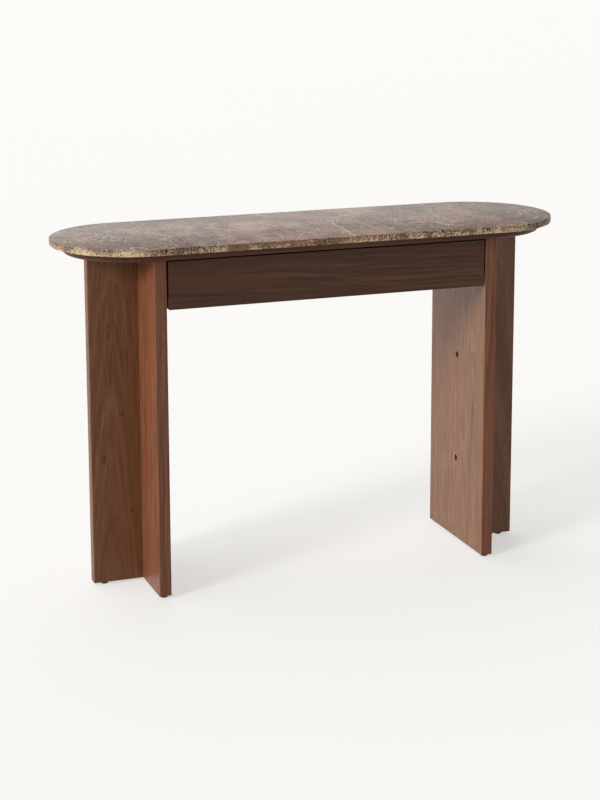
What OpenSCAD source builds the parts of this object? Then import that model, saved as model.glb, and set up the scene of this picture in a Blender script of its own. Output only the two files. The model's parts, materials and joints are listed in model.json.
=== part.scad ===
// Console table: a round-ended stone top on a walnut frame, with one flush drawer.
// Each leg is a deep cross panel with a narrower panel butted to the middle of its outer face.
// Millimetres. The origin is on the floor below the middle of the top. +X runs along the
// length, -Y is the front and +Z is up. "Left" is the -X side, as seen from the front.

/* [Overall] */
// Length of the stone top, end to end
table_l = 1200; // [1000:10:1500]
// Depth of the stone top, front to back
table_d = 375; // [310:5:450]
// Height of the stone's upper face above the floor
table_h = 800; // [660:5:960]

/* [Top] */
// Thickness of the stone slab
stone_t = 15; // [12:1:25]
// Width of the chamfer on the stone's edges
stone_chamfer = 1.5; // [0.5:0.5:3]
// Thickness of the wooden board below the stone
subtop_t = 18; // [16:1:25]
// Distance from the stone's edge in to the board's edge
subtop_inset = 30; // [20:1:40]
// Radius of the board's rounded lower edge
subtop_round = 6; // [2:0.5:10]
// Diameter of a silicone dot between stone and board
dot_d = 40; // [20:1:50]
// Depth of the shallow pocket that holds a silicone dot
dot_t = 1.5; // [1:0.5:3]

/* [Legs] */
// Thickness of the leg panels
panel_t = 28; // [22:1:36]
// Width of the outer panel, from the cross panel outwards
outer_w = 115; // [90:1:140]
// Distance from the outer panel's edge to the board's end
outer_margin = 46; // [30:1:60]
// Distance from the cross panel's edges to the board's long edges
cross_margin = 7.5; // [2:0.5:20]
// Radius of the eased upright edges
edge_r = 2.5; // [1:0.5:4]
// Height of the lower leg bolt above the floor
bolt_z = 205; // [150:1:230]
// Distance between the two leg bolts
bolt_pitch = 256; // [128:32:288]
// Diameter of the recess that a leg bolt's head sits in
recess_d = 15; // [12.5:0.5:16]
// Depth of that recess
recess_depth = 10; // [8:0.5:12]
// Height of a foot glide
glide_h = 6; // [4:1:10]
// Diameter of a foot glide
glide_d = 17; // [14:1:20]

/* [Rear apron] */
// Thickness of the rear apron
apron_t = 18; // [16:1:22]
// Height of the rear apron
apron_h = 100; // [80:1:120]
// Distance from the cross panels' rear edges to the apron's rear face
apron_inset = 2; // [0:0.5:6]

/* [Drawer] */
// Height of the drawer front
front_h = 107; // [88:1:130]
// Thickness of the drawer front
front_t = 18; // [15:1:22]
// Gap between the drawer front and each cross panel
front_side_gap = 4; // [2:0.5:5]
// Gap between the drawer front and the board above it
front_top_gap = 3; // [2:0.5:5]
// Distance from the cross panels' front edges back to the drawer front
front_recess = 1; // [0:0.5:4]
// Distance from the front's lower edge up to the drawer box, which leaves a finger grip
box_rise = 10; // [6:1:14]
// Distance from the front's upper edge down to the drawer box
box_drop = 17; // [12:1:20]
// Thickness of the drawer box's boards
box_t = 12; // [11:1:15]
// Thickness of the drawer's bottom
bottom_t = 5; // [4:1:6]
// Distance from the box boards' lower edges up to the bottom
bottom_rise = 8; // [6:1:12]
// Depth of the grooves that hold the bottom
groove_depth = 5; // [4:0.5:6]

/* [Slides] */
// Step between the standard slide lengths
slide_step = 50; // [25:25:50]
// Height of a slide
slide_h = 45.5; // [45:0.5:50]
// Thickness of a slide, which is the gap beside the drawer box
slide_t = 12.7; // [12.5:0.1:13]
// Sheet thickness of the slide members
sheet_t = 1.2; // [1:0.1:1.4]
// Distance from the drawer box's lower edge up to the slide
slide_rise = 10; // [4:1:14]

/* [Fixings] */
// Diameter of the dowels in the frame
dowel_d = 8; // [6:1:8]
// Diameter of the dowels in the drawer box
box_dowel_d = 6; // [5:1:6]
// Diameter of a cam lock
cam_d = 15; // [12:1:15]
// Distance from a board's end to the middle of its cam lock
cam_reach = 34; // [24:1:34]

/* [Hidden] */
$fn = 48;

// Named clearances
round_fit = 0.05;       // radial gap round a dowel, an insert, a nail or a screw
slack = 1;              // spare depth at the end of a blind hole
groove_fit = 0.1;       // gap above the drawer's bottom in its grooves, and at their depths
rear_gap = 8;           // least room between the drawer box and the rear apron
over = 1;               // how far a cut runs past the face it opens
sides = [-1, 1];

// Heights of the frame
stone_z = table_h - stone_t;
frame_z = stone_z - subtop_t;
panel_h = frame_z - glide_h;

// The board under the stone
subtop_l = table_l - 2 * subtop_inset;
subtop_d = table_d - 2 * subtop_inset;

// Leg panels: x of the outer panel's far edge, of the joint plane and of the cross panel's inner face
outer_x = subtop_l / 2 - outer_margin;
joint_x = outer_x - outer_w;
inner_x = joint_x - panel_t;
opening_w = 2 * inner_x;
cross_d = subtop_d - 2 * cross_margin;
cross_mid_x = inner_x + panel_t / 2;
outer_mid_x = joint_x + outer_w / 2;

// Rear apron
apron_y = cross_d / 2 - apron_inset - apron_t;
apron_mid_y = apron_y + apron_t / 2;
apron_z = frame_z - apron_h;

// Drawer
front_y = -cross_d / 2 + front_recess;
front_w = opening_w - 2 * front_side_gap;
front_z = frame_z - front_top_gap - front_h;
box_y = front_y + front_t;
box_z = front_z + box_rise;
box_h = front_h - box_rise - box_drop;
box_w = opening_w - 2 * slide_t;
slide_l = slide_step * floor((apron_y - rear_gap - box_y) / slide_step);
box_d = slide_l;
inside_w = box_w - 2 * box_t;

// Slides, drawn with x from the cross panel's face, y from the front end and z from the middle
slide_z = box_z + slide_rise + slide_h / 2;
travel = slide_l - 10;
buffer_t = 3.5;
middle_l = slide_l - buffer_t - 0.5;
outer_ball_r = 2;
inner_ball_r = 1.5;
ball_gap = 0.15;        // gap between a ball and each of its tracks
ball_pitch = 12;
cage_t = 0.8;
cage_web_t = 0.6;
web_gap = 0.4;          // gap between the webs of members and cages that pass each other
outer_cage_x = sheet_t + web_gap;
middle_x = outer_cage_x + cage_web_t + web_gap;
inner_cage_x = middle_x + sheet_t + web_gap;
core_x = inner_cage_x + cage_web_t + web_gap;
outer_ball_x = middle_x + 3.6;
inner_ball_x = core_x + 3;
outer_depth = outer_ball_x + outer_ball_r + web_gap + sheet_t;
middle_depth = slide_t - sheet_t - 0.7 - middle_x;
outer_lip = 1.1;
core_lip = 0.8;
tab_t = 1.2;
tab_w = 2.8;
tab_reach = 0.6;        // how far a stop tab runs past the middle of its ball track
stop_gap = 0.8;
outer_ball_z = slide_h / 2 - sheet_t - ball_gap - outer_ball_r;
middle_h = 2 * (outer_ball_z - outer_ball_r - ball_gap);
inner_ball_z = middle_h / 2 - sheet_t - ball_gap - inner_ball_r;
inner_h = 2 * (inner_ball_z - inner_ball_r - ball_gap);
cage_l = slide_l / 2 - 3;
cage_y = tab_t + stop_gap + travel / 4;
slide_hole_ys = [35, slide_l / 2, slide_l - 35];
frame_screw_r = 2;
frame_screw_l = 15;
side_screw_r = 1.75;
side_screw_l = box_t - 2;

// Leg fixings
bolt_r = 3;
bolt_head_r = 5;
bolt_head_h = 6;
bolt_key_d = 5.8;
bolt_key_depth = 3;
bolt_gap = 0.3;         // radial gap round a leg bolt in the panels
washer_r = recess_d / 2 - 0.3;
washer_t = 1.5;
insert_r = 5;
insert_l = 22;
bolt_zs = [bolt_z, bolt_z + bolt_pitch];
leg_dowel_zs = [bolt_z - 125, bolt_z + bolt_pitch / 2, bolt_z + bolt_pitch + 125];
leg_dowel_in = panel_t / 2;
leg_dowel_out = 20;

// Dowels up into the board and along into the cross panels
top_dowel_up = subtop_t - 6;
top_dowel_down = 18;
cross_dowel_y = cross_d / 2 - 80;
outer_dowel_step = outer_w / 2 - 22;
apron_dowel_x = opening_w / 2 - 80;
apron_dowel_step = apron_h / 2 - 20;
apron_end_in = 12;

// Cam locks: each site is its middle, its turn and its board's thickness. At no turn the lock
// faces -Y and its pin runs up +Z, into the board's neighbour.
pin_head_r = 3.4;
cam_back = pin_head_r + 0.6;
pin_shank_r = 3.3;
pin_thread_r = 3.4;
pin_thread_l = subtop_t - 7;
cam_z = frame_z - cam_reach;
cross_cam_y = cross_d / 2 - 40;
function cross_cams(s) =
    [for (e = sides) [[s * cross_mid_x, e * cross_cam_y, cam_z], [0, 0, -90 * s], panel_t]];
function outer_cams(s) = [[[s * outer_mid_x, 0, cam_z], [0, 0, 180], panel_t]];
function apron_end_cams(s) =
    [[[s * (opening_w / 2 - cam_reach), apron_mid_y, apron_z + apron_h / 2], [0, 90 * s, 0], apron_t]];
apron_top_cams = [for (s = sides) [[s * (opening_w / 2 - 200), apron_mid_y, cam_z], [0, 0, 0], apron_t]];
side_cams = [for (s = sides) each concat(cross_cams(s), outer_cams(s), apron_end_cams(s))];
all_cams = concat(side_cams, apron_top_cams);

// Foot glides: two under each cross panel and one under each outer panel
function cross_glides(s) = [for (e = sides) [s * cross_mid_x, e * (cross_d / 2 - 15)]];
function outer_glides(s) = [[s * (outer_x - 27), 0]];
all_glides = [for (s = sides) each concat(cross_glides(s), outer_glides(s))];
nail_r = 1.25;
nail_l = 22;
nail_head_r = 3.5;
nail_head_z = 2;
nail_head_t = 1;

// Dowels of the drawer box: their depth in the box front or back, and out into the sides
box_dowel_in = 22;
box_dowel_out = box_t - 4;

// Screws of the drawer front, through the box front
front_screw_r = 2;
front_screw_l = box_t + 12;
front_screw_xs = [for (s = sides) each [s * inside_w / 6, s * (inside_w / 2 - 60)]];
front_screw_z = box_z + box_h - 22;

walnut = [0.36, 0.22, 0.15];
walnut_box = [0.46, 0.31, 0.21];
beech = [0.80, 0.65, 0.45];
zinc = [0.72, 0.73, 0.75];

// ---------------------------------------------------------------- shared shapes

// A rectangle from the origin with rounded corners.
module eased_square(w, d, r) {
    translate([r, 0]) square([w - 2 * r, d]);
    translate([0, r]) square([w, d - 2 * r]);
    for (x = [r, w - r], y = [r, d - r]) translate([x, y]) circle(r);
}

// A slab with round ends, as long as l and as deep as d, turned and pulled from one edge outline.
// The outline is children(0), drawn with x from the long axis outwards.
module round_ended_slab(l, d) {
    straight = l - d;
    for (s = sides) {
        translate([s * straight / 2, 0, 0]) rotate([0, 0, -90 * s]) rotate_extrude(angle = 180) children(0);
        translate([-s * straight / 2, 0, 0]) rotate([0, 0, s > 0 ? 0 : 180])
            rotate([90, 0, 90]) linear_extrude(straight) children(0);
    }
}

// A dowel standing on the origin, with chamfered ends.
module dowel(r, l) {
    c = r / 4;
    translate([0, 0, c]) cylinder(h = l - 2 * c, r = r);
    cylinder(h = c, r1 = r - c, r2 = r);
    translate([0, 0, l - c]) cylinder(h = c, r1 = r, r2 = r - c);
}

// The dowel across a joint plane at the origin, and the two holes it fills.
module joint_dowel(r, below, above) {
    translate([0, 0, -below]) dowel(r, below + above);
}
module joint_dowel_holes(r, below, above) {
    translate([0, 0, -below]) cylinder(h = below + above + slack, r = r + round_fit);
}

// A cam lock in a board that is t thick: a disc with a pocket for the pin's head and a cross slot.
module cam_lock(t) {
    r = cam_d / 2 - round_fit;
    difference() {
        translate([0, cam_back, 0]) rotate([90, 0, 0]) cylinder(h = cam_back + t / 2 - 0.3, r = r);
        translate([0, 0, -4]) cylinder(h = cam_d, r = pin_head_r + 0.4);
        for (a = [0, 90]) translate([0, -t / 2, 0]) rotate([0, a, 0]) cube([7, 4, 1.2], center = true);
    }
}

// The steel pin that a cam lock pulls on, from the lock's middle up into the next board.
module cam_pin() {
    translate([0, 0, -2]) cylinder(h = 3.5, r = pin_head_r);
    cylinder(h = 8, r = 2);
    translate([0, 0, 8]) cylinder(h = cam_reach - 8, r = pin_shank_r);
    translate([0, 0, cam_reach]) cylinder(h = pin_thread_l - 1, r = pin_thread_r);
    translate([0, 0, cam_reach + pin_thread_l - 1]) cylinder(h = 1, r1 = pin_thread_r, r2 = pin_thread_r - 1);
}

// The pocket of a cam lock and the hole of its pin.
module cam_holes(t) {
    translate([0, cam_back, 0]) rotate([90, 0, 0]) cylinder(h = cam_back + t / 2 + over, r = cam_d / 2);
    cylinder(h = cam_reach + pin_thread_l, r = pin_thread_r + round_fit);
}

// Puts children at each cam site in a list, turned to face out of its board.
module at_cams(sites) {
    for (c = sites) translate(c[0]) rotate(c[1]) children();
}

// The cam holes at every site in a list.
module cam_holes_at(sites) {
    for (c = sites) translate(c[0]) rotate(c[1]) cam_holes(c[2]);
}

// A wood screw with a flat countersunk head, pointing along +Z with its head's face at the origin.
module flat_screw(r, l) {
    difference() {
        union() {
            cylinder(h = r, r1 = 2 * r, r2 = r);
            cylinder(h = l - 2 * r, r = r);
            translate([0, 0, l - 2 * r]) cylinder(h = 2 * r, r1 = r, r2 = 0.3);
        }
        screw_slots(r);
    }
}
module flat_screw_hole(r, l) {
    translate([0, 0, -over]) cylinder(h = over, r = 2 * r + round_fit);
    cylinder(h = r, r1 = 2 * r + round_fit, r2 = r + round_fit);
    cylinder(h = l, r = r + round_fit);
}

// A wood screw with a low round head, pointing along +Z with the head's underside at the origin.
module pan_screw(r, l) {
    difference() {
        union() {
            translate([0, 0, -r]) cylinder(h = r * 0.4, r1 = r * 1.4, r2 = r * 1.9);
            translate([0, 0, -r * 0.6]) cylinder(h = r * 0.6, r = r * 1.9);
            cylinder(h = l - 2 * r, r = r);
            translate([0, 0, l - 2 * r]) cylinder(h = 2 * r, r1 = r, r2 = 0.3);
        }
        translate([0, 0, -r]) screw_slots(r);
    }
}
module pan_screw_hole(r, l) {
    cylinder(h = l + slack, r = r + round_fit);
}

// The cross recess in the head of a screw.
module screw_slots(r) {
    for (a = [0, 90]) rotate([0, 0, a]) cube([2.2 * r, 0.5 * r, r], center = true);
}

// ---------------------------------------------------------------- stone and board

module stone_top() {
    c = stone_chamfer;
    r = table_d / 2;
    color([0.55, 0.49, 0.45]) translate([0, 0, stone_z]) round_ended_slab(table_l, table_d)
        polygon([[0, 0], [r - c, 0], [r, c], [r, stone_t - c], [r - c, stone_t], [0, stone_t]]);
}

// Puts children at each silicone dot, in two rows.
module at_dots() {
    count = 6;
    reach = subtop_l / 2 - 90;
    row = subtop_d / 2 - 70;
    for (i = [0:count - 1], s = sides) {
        translate([-reach + 2 * reach * i / (count - 1), s * row, stone_z - dot_t]) children();
    }
}

module stone_dots() {
    color([0.85, 0.85, 0.83]) at_dots() cylinder(h = dot_t, r = dot_d / 2 - round_fit);
}

module sub_top() {
    r = subtop_d / 2;
    color(walnut) difference() {
        translate([0, 0, frame_z]) round_ended_slab(subtop_l, subtop_d) {
            union() {
                translate([0, subtop_round]) square([r, subtop_t - subtop_round]);
                square([r - subtop_round, subtop_t]);
                intersection() {
                    translate([r - subtop_round, subtop_round]) circle(subtop_round);
                    square([r, subtop_t]);
                }
            }
        }
        at_dots() cylinder(h = dot_t + over, r = dot_d / 2);
        cam_holes_at(all_cams);
        top_dowel_holes();
    }
}

// ---------------------------------------------------------------- leg panels and apron

// Puts children at the top dowels of one leg, s = -1 or 1, and of the apron, s = 0.
module at_top_dowels(s) {
    places = s == 0
        ? [for (x = [-apron_dowel_x, 0, apron_dowel_x]) [x, apron_mid_y]]
        : concat([for (e = sides) [s * cross_mid_x, e * cross_dowel_y]],
                 [for (e = sides) [s * outer_mid_x + e * outer_dowel_step, 0]]);
    for (p = places) translate([p[0], p[1], frame_z]) children();
}
module top_dowel_holes() {
    for (s = [-1, 0, 1]) at_top_dowels(s) joint_dowel_holes(dowel_d / 2, top_dowel_down, top_dowel_up);
}

// Puts children at one leg's dowels, with +Z turned outwards along X.
module at_leg_dowels(s) {
    for (z = leg_dowel_zs) translate([s * joint_x, 0, z]) rotate([0, 90 * s, 0]) children();
}
module leg_dowel_holes(s) {
    at_leg_dowels(s) joint_dowel_holes(dowel_d / 2, leg_dowel_in, leg_dowel_out);
}

// Puts children at one leg's bolts, on the cross panel's inner face, with +Z turned outwards.
module at_leg_bolts(s) {
    for (z = bolt_zs) translate([s * inner_x, 0, z]) rotate([0, 90 * s, 0]) children();
}

// Puts children at the dowels in one end of the apron, with +Z turned outwards along X.
module at_apron_dowels(s) {
    for (e = sides) {
        translate([s * opening_w / 2, apron_mid_y, apron_z + apron_h / 2 + e * apron_dowel_step])
            rotate([0, 90 * s, 0]) children();
    }
}
module apron_dowel_holes(s) {
    at_apron_dowels(s) joint_dowel_holes(dowel_d / 2, top_dowel_down, apron_end_in);
}

// Puts children at one slide's screws on its cross panel, with +Z turned into the panel.
module at_frame_screws(s) {
    for (y = slide_hole_ys) {
        translate([s * (inner_x - sheet_t), box_y + y, slide_z]) rotate([0, 90 * s, 0]) children();
    }
}

// The nail holes of a list of glides.
module glide_holes(places) {
    for (p = places) translate([p[0], p[1], 0]) cylinder(h = nail_head_z + nail_l, r = nail_r + round_fit);
}

// The deep panel of one leg, front to back.
module cross_panel(s) {
    color(walnut) difference() {
        translate([s * cross_mid_x - panel_t / 2, -cross_d / 2, glide_h])
            linear_extrude(panel_h) eased_square(panel_t, cross_d, edge_r);
        at_leg_bolts(s) {
            translate([0, 0, -over]) cylinder(h = recess_depth + over, r = recess_d / 2);
            cylinder(h = panel_t + over, r = bolt_r + bolt_gap);
        }
        leg_dowel_holes(s);
        at_top_dowels(s) joint_dowel_holes(dowel_d / 2, top_dowel_down, top_dowel_up);
        cam_holes_at(concat(cross_cams(s), apron_end_cams(s)));
        apron_dowel_holes(s);
        at_frame_screws(s) flat_screw_hole(frame_screw_r, frame_screw_l + slack);
        glide_holes(cross_glides(s));
    }
}
module left_cross_panel() { cross_panel(-1); }
module right_cross_panel() { cross_panel(1); }

// The narrow panel of one leg, butted to the middle of the cross panel's outer face.
module outer_panel(s) {
    color(walnut) difference() {
        translate([s * outer_mid_x - outer_w / 2, -panel_t / 2, glide_h]) linear_extrude(panel_h) {
            eased_square(outer_w, panel_t, edge_r);
            translate([s < 0 ? outer_w / 2 : 0, 0]) square([outer_w / 2, panel_t]);
        }
        at_leg_bolts(s) translate([0, 0, panel_t - over])
            cylinder(h = insert_l + over, r = insert_r + round_fit);
        at_leg_bolts(s) translate([0, 0, panel_t]) cylinder(h = insert_l + 4, r = bolt_r + bolt_gap);
        leg_dowel_holes(s);
        at_top_dowels(s) joint_dowel_holes(dowel_d / 2, top_dowel_down, top_dowel_up);
        cam_holes_at(outer_cams(s));
        glide_holes(outer_glides(s));
    }
}
module left_outer_panel() { outer_panel(-1); }
module right_outer_panel() { outer_panel(1); }

module rear_apron() {
    color(walnut) difference() {
        translate([-opening_w / 2, apron_y, apron_z]) cube([opening_w, apron_t, apron_h]);
        at_top_dowels(0) joint_dowel_holes(dowel_d / 2, top_dowel_down, top_dowel_up);
        for (s = sides) {
            apron_dowel_holes(s);
            cam_holes_at(apron_end_cams(s));
        }
        cam_holes_at(apron_top_cams);
    }
}

// ---------------------------------------------------------------- frame fixings

module leg_bolts() {
    seat = recess_depth - washer_t;
    color([0.36, 0.24, 0.16]) for (s = sides) {
        at_leg_bolts(s) difference() {
            union() {
                translate([0, 0, seat - bolt_head_h])
                    cylinder(h = 1, r1 = bolt_head_r - 0.6, r2 = bolt_head_r);
                translate([0, 0, seat - bolt_head_h + 1]) cylinder(h = bolt_head_h - 1, r = bolt_head_r);
                translate([0, 0, seat]) cylinder(h = panel_t + insert_l - seat - 1, r = bolt_r);
            }
            translate([0, 0, seat - bolt_head_h - over])
                cylinder(h = bolt_key_depth + over, d = bolt_key_d, $fn = 6);
        }
    }
}

module leg_bolt_washers() {
    color(zinc) for (s = sides) at_leg_bolts(s) translate([0, 0, recess_depth - washer_t]) difference() {
        cylinder(h = washer_t, r = washer_r);
        translate([0, 0, -over]) cylinder(h = washer_t + 2 * over, r = bolt_r + bolt_gap);
    }
}

module leg_bolt_inserts() {
    color([0.75, 0.62, 0.35]) for (s = sides) at_leg_bolts(s) translate([0, 0, panel_t]) difference() {
        union() {
            cylinder(h = insert_l, r = insert_r - 0.6);
            for (i = [0:5]) translate([0, 0, i * (insert_l - 1.6) / 5]) cylinder(h = 1.6, r = insert_r);
        }
        translate([0, 0, -over]) cylinder(h = insert_l + 2 * over, r = bolt_r + round_fit);
    }
}

module leg_dowels() {
    color(beech) for (s = sides) at_leg_dowels(s) joint_dowel(dowel_d / 2, leg_dowel_in, leg_dowel_out);
}

module top_dowels() {
    color(beech) for (s = [-1, 0, 1]) {
        at_top_dowels(s) joint_dowel(dowel_d / 2, top_dowel_down, top_dowel_up);
    }
}

module apron_dowels() {
    color(beech) for (s = sides) at_apron_dowels(s) joint_dowel(dowel_d / 2, top_dowel_down, apron_end_in);
}

module cam_locks() {
    color(zinc) for (c = all_cams) translate(c[0]) rotate(c[1]) cam_lock(c[2]);
}

module cam_pins() {
    color([0.78, 0.74, 0.62]) at_cams(all_cams) cam_pin();
}

// Plastic discs over the cam locks in the outer panels' rear faces.
module cam_covers() {
    r = cam_d / 2 + 1.5;
    color([0.28, 0.19, 0.14]) for (s = sides) {
        at_cams(outer_cams(s)) translate([0, -panel_t / 2, 0]) rotate([90, 0, 0]) {
            cylinder(h = 0.8, r = r);
            translate([0, 0, 0.8]) cylinder(h = 0.6, r1 = r, r2 = r - 1.2);
        }
    }
}

module foot_glides() {
    r = glide_d / 2;
    c = 1.2;
    color([0.06, 0.06, 0.06]) for (p = all_glides) translate([p[0], p[1], 0]) difference() {
        rotate_extrude()
            polygon([[0, 0], [r - c, 0], [r, c], [r, glide_h - 0.6], [r - 0.6, glide_h], [0, glide_h]]);
        translate([0, 0, -over]) cylinder(h = nail_head_z + over, r = nail_head_r + 0.3);
        cylinder(h = nail_head_z + nail_head_t, r = nail_head_r + round_fit);
        cylinder(h = glide_h + over, r = nail_r + round_fit);
    }
}

module glide_nails() {
    color(zinc) for (p = all_glides) translate([p[0], p[1], nail_head_z]) {
        cylinder(h = nail_head_t, r = nail_head_r);
        cylinder(h = nail_l - 3, r = nail_r);
        translate([0, 0, nail_l - 3]) cylinder(h = 2.5, r1 = nail_r, r2 = 0.2);
    }
}

// ---------------------------------------------------------------- drawer slides

// Puts children in a slide's own frame: x from the cross panel's face towards the drawer,
// y from the slide's front end, z from its middle.
module on_slide(s) {
    translate([s * inner_x, box_y, slide_z]) mirror([s > 0 ? 1 : 0, 0, 0]) children();
}

// Pulls a flat outline, drawn in x and z, along the slide.
module pull(l) {
    rotate([-90, 0, 0]) linear_extrude(l) children();
}

// A channel's outline: a web at x = 0 and flanges to x = depth, with turned edges on the flanges.
// side is 1 for edges turned outwards and -1 for edges turned inwards.
module channel(depth, h, t, edge, side) {
    translate([0, -h / 2]) square([t, h]);
    for (m = [0, 1]) mirror([0, m]) {
        translate([0, h / 2 - t]) square([depth, t]);
        translate([depth - t, side > 0 ? h / 2 : h / 2 - t - edge]) square([t, edge]);
    }
}

// Stop tabs in both ball tracks of a member, between the heights z0 and z1.
module stop_tabs(x, y, z0, z1) {
    for (m = [0, 1]) mirror([0, 0, m]) translate([x - tab_w / 2, y, z0]) cube([tab_w, tab_t, z1 - z0]);
}

module slide_outer(s) {
    color(zinc) difference() {
        on_slide(s) {
            pull(slide_l) channel(outer_depth, slide_h, sheet_t, outer_lip, -1);
            stop_tabs(outer_ball_x, 0, outer_ball_z - tab_reach, slide_h / 2 - sheet_t / 2);
        }
        at_frame_screws(s) flat_screw_hole(frame_screw_r, frame_screw_l + slack);
    }
}
module left_slide_outer() { slide_outer(-1); }
module right_slide_outer() { slide_outer(1); }

module slide_middle(s) {
    color(zinc) on_slide(s) {
        pull(middle_l) translate([middle_x, 0]) channel(middle_depth, middle_h, sheet_t, outer_lip, 1);
        stop_tabs(outer_ball_x, middle_l - tab_t, middle_h / 2 - sheet_t / 2, outer_ball_z + tab_reach);
        stop_tabs(inner_ball_x, 0, inner_ball_z - tab_reach, middle_h / 2 - sheet_t / 2);
    }
}
module left_slide_middle() { slide_middle(-1); }
module right_slide_middle() { slide_middle(1); }

module slide_inner(s) {
    color(zinc) difference() {
        on_slide(s) {
            pull(slide_l) translate([slide_t, 0]) mirror([1, 0])
                channel(slide_t - core_x, inner_h, sheet_t, core_lip, 1);
            stop_tabs(inner_ball_x, slide_l - tab_t, inner_h / 2 - sheet_t / 2, inner_ball_z + tab_reach);
        }
        at_drawer_screws(s) translate([0, 0, -over]) pan_screw_hole(side_screw_r, side_screw_l);
    }
}
module left_slide_inner() { slide_inner(-1); }
module right_slide_inner() { slide_inner(1); }

// Puts children at the balls of one cage, above and below the slide's middle.
module at_balls(x, z) {
    count = floor((cage_l - 10) / ball_pitch) + 1;
    start = cage_y + (cage_l - (count - 1) * ball_pitch) / 2;
    for (i = [0:count - 1], e = sides) translate([x, start + i * ball_pitch, e * z]) children();
}

// A cage is a thin channel round the web side, with a hole for each ball.
module ball_cage(s, web_x, ball_x, ball_z, ball_r) {
    half = ball_z + cage_t / 2;
    color([0.60, 0.61, 0.63]) on_slide(s) difference() {
        translate([0, cage_y, 0]) pull(cage_l) {
            translate([web_x, -half]) square([cage_web_t, 2 * half]);
            for (e = sides) translate([web_x, e * ball_z - cage_t / 2])
                square([ball_x + ball_r - web_x, cage_t]);
        }
        at_balls(ball_x, ball_z) cylinder(h = 2 * cage_t, r = ball_r + round_fit, center = true);
    }
}
module left_outer_cage() { ball_cage(-1, outer_cage_x, outer_ball_x, outer_ball_z, outer_ball_r); }
module right_outer_cage() { ball_cage(1, outer_cage_x, outer_ball_x, outer_ball_z, outer_ball_r); }
module left_inner_cage() { ball_cage(-1, inner_cage_x, inner_ball_x, inner_ball_z, inner_ball_r); }
module right_inner_cage() { ball_cage(1, inner_cage_x, inner_ball_x, inner_ball_z, inner_ball_r); }

module outer_balls(s) {
    color("silver") on_slide(s) at_balls(outer_ball_x, outer_ball_z) sphere(outer_ball_r);
}
module inner_balls(s) {
    color("silver") on_slide(s) at_balls(inner_ball_x, inner_ball_z) sphere(inner_ball_r);
}
module left_outer_balls() { outer_balls(-1); }
module right_outer_balls() { outer_balls(1); }
module left_inner_balls() { inner_balls(-1); }
module right_inner_balls() { inner_balls(1); }

// Rubber blocks at the rear of the outer members, which the middle members close against.
module slide_buffers() {
    high = middle_h - 4;
    color([0.1, 0.1, 0.1]) for (s = sides) on_slide(s) {
        translate([sheet_t, slide_l - buffer_t, -high / 2])
            cube([core_x - web_gap - sheet_t, buffer_t, high]);
    }
}

module slide_frame_screws() {
    color(zinc) for (s = sides) at_frame_screws(s) flat_screw(frame_screw_r, frame_screw_l);
}

// Puts children at the screws from one slide into the drawer's side, with +Z turned into the side.
module at_drawer_screws(s) {
    for (y = slide_hole_ys) {
        translate([s * (box_w / 2 + sheet_t), box_y + y, slide_z]) rotate([0, -90 * s, 0]) children();
    }
}

module slide_drawer_screws() {
    color(zinc) for (s = sides) at_drawer_screws(s) pan_screw(side_screw_r, side_screw_l);
}

// ---------------------------------------------------------------- drawer

module drawer_front() {
    color(walnut) difference() {
        translate([-front_w / 2, front_y + front_t, front_z]) rotate([90, 0, 0])
            linear_extrude(front_t) eased_square(front_w, front_h, edge_r);
        at_front_screws() pan_screw_hole(front_screw_r, front_screw_l);
    }
}

// Puts children at the screws of the drawer front, with +Z turned to the front.
module at_front_screws() {
    for (x = front_screw_xs) translate([x, box_y + box_t, front_screw_z]) rotate([90, 0, 0]) children();
}

module drawer_box_front() {
    color(walnut_box) difference() {
        translate([-inside_w / 2, box_y, box_z]) cube([inside_w, box_t, box_h]);
        bottom_slot();
        at_front_screws() translate([0, 0, -over]) pan_screw_hole(front_screw_r, front_screw_l);
        box_dowel_holes();
    }
}

module drawer_back() {
    color(walnut_box) difference() {
        translate([-inside_w / 2, box_y + box_d - box_t, box_z]) cube([inside_w, box_t, box_h]);
        bottom_slot();
        box_dowel_holes();
    }
}

// One side of the drawer box.
module drawer_side(s) {
    color(walnut_box) difference() {
        translate([s * (box_w - box_t) / 2 - box_t / 2, box_y, box_z]) cube([box_t, box_d, box_h]);
        bottom_slot();
        box_dowel_holes();
        at_drawer_screws(s) pan_screw_hole(side_screw_r, side_screw_l);
    }
}
module drawer_left_side() { drawer_side(-1); }
module drawer_right_side() { drawer_side(1); }

module drawer_bottom() {
    g = groove_depth - groove_fit;
    color([0.50, 0.36, 0.25]) translate([-inside_w / 2 - g, box_y + box_t - g, box_z + bottom_rise])
        cube([inside_w + 2 * g, box_d - 2 * box_t + 2 * g, bottom_t]);
}

// The space that the grooves leave for the drawer's bottom, which rests on their lower faces.
module bottom_slot() {
    g = groove_depth;
    translate([-inside_w / 2 - g, box_y + box_t - g, box_z + bottom_rise])
        cube([inside_w + 2 * g, box_d - 2 * box_t + 2 * g, bottom_t + groove_fit]);
}

// Puts children at the dowels in the box's corners, with +Z turned outwards along X.
module at_box_dowels() {
    ys = [box_y + box_t / 2, box_y + box_d - box_t / 2];
    zs = [box_z + bottom_rise + bottom_t + 9, box_z + box_h - 12];
    for (s = sides, y = ys, z = zs) translate([s * inside_w / 2, y, z]) rotate([0, 90 * s, 0]) children();
}
module box_dowel_holes() {
    at_box_dowels() joint_dowel_holes(box_dowel_d / 2, box_dowel_in, box_dowel_out);
}

module drawer_dowels() {
    color(beech) at_box_dowels() joint_dowel(box_dowel_d / 2, box_dowel_in, box_dowel_out);
}

module drawer_front_screws() {
    color(zinc) at_front_screws() pan_screw(front_screw_r, front_screw_l);
}

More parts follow.
